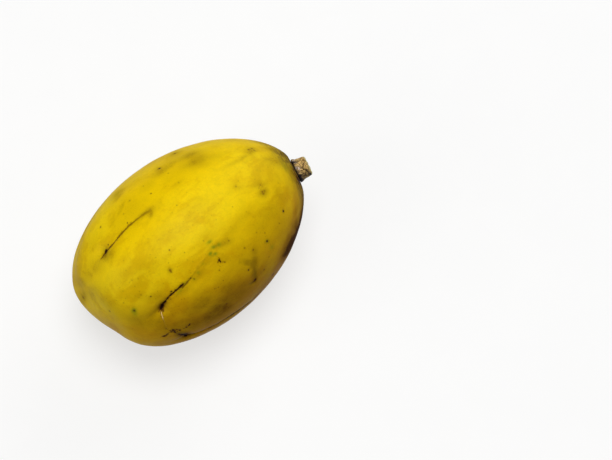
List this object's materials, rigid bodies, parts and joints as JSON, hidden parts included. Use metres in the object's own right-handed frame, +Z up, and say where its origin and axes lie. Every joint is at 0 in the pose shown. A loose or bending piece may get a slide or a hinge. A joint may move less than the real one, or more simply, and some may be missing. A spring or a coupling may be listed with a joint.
{
  "type": "hog plum",
  "caption": "Ripe oval hog plum lying on its side, with lengthwise grooves and pits round its blossom end and a short woody stem.",
  "frame": {"origin": "on the surface it rests on, below the middle of the whole part's box", "axes": "+X along the fruit towards the stem, +Z up"},
  "size_m": [0.08, 0.0526, 0.051],
  "materials": {
    "fruit_skin": "satin",
    "stem_bark": "rough"
  },
  "bodies": {
    "root": {"fruit": "fruit_skin", "stem": "stem_bark"}
  },
  "joints": []
}
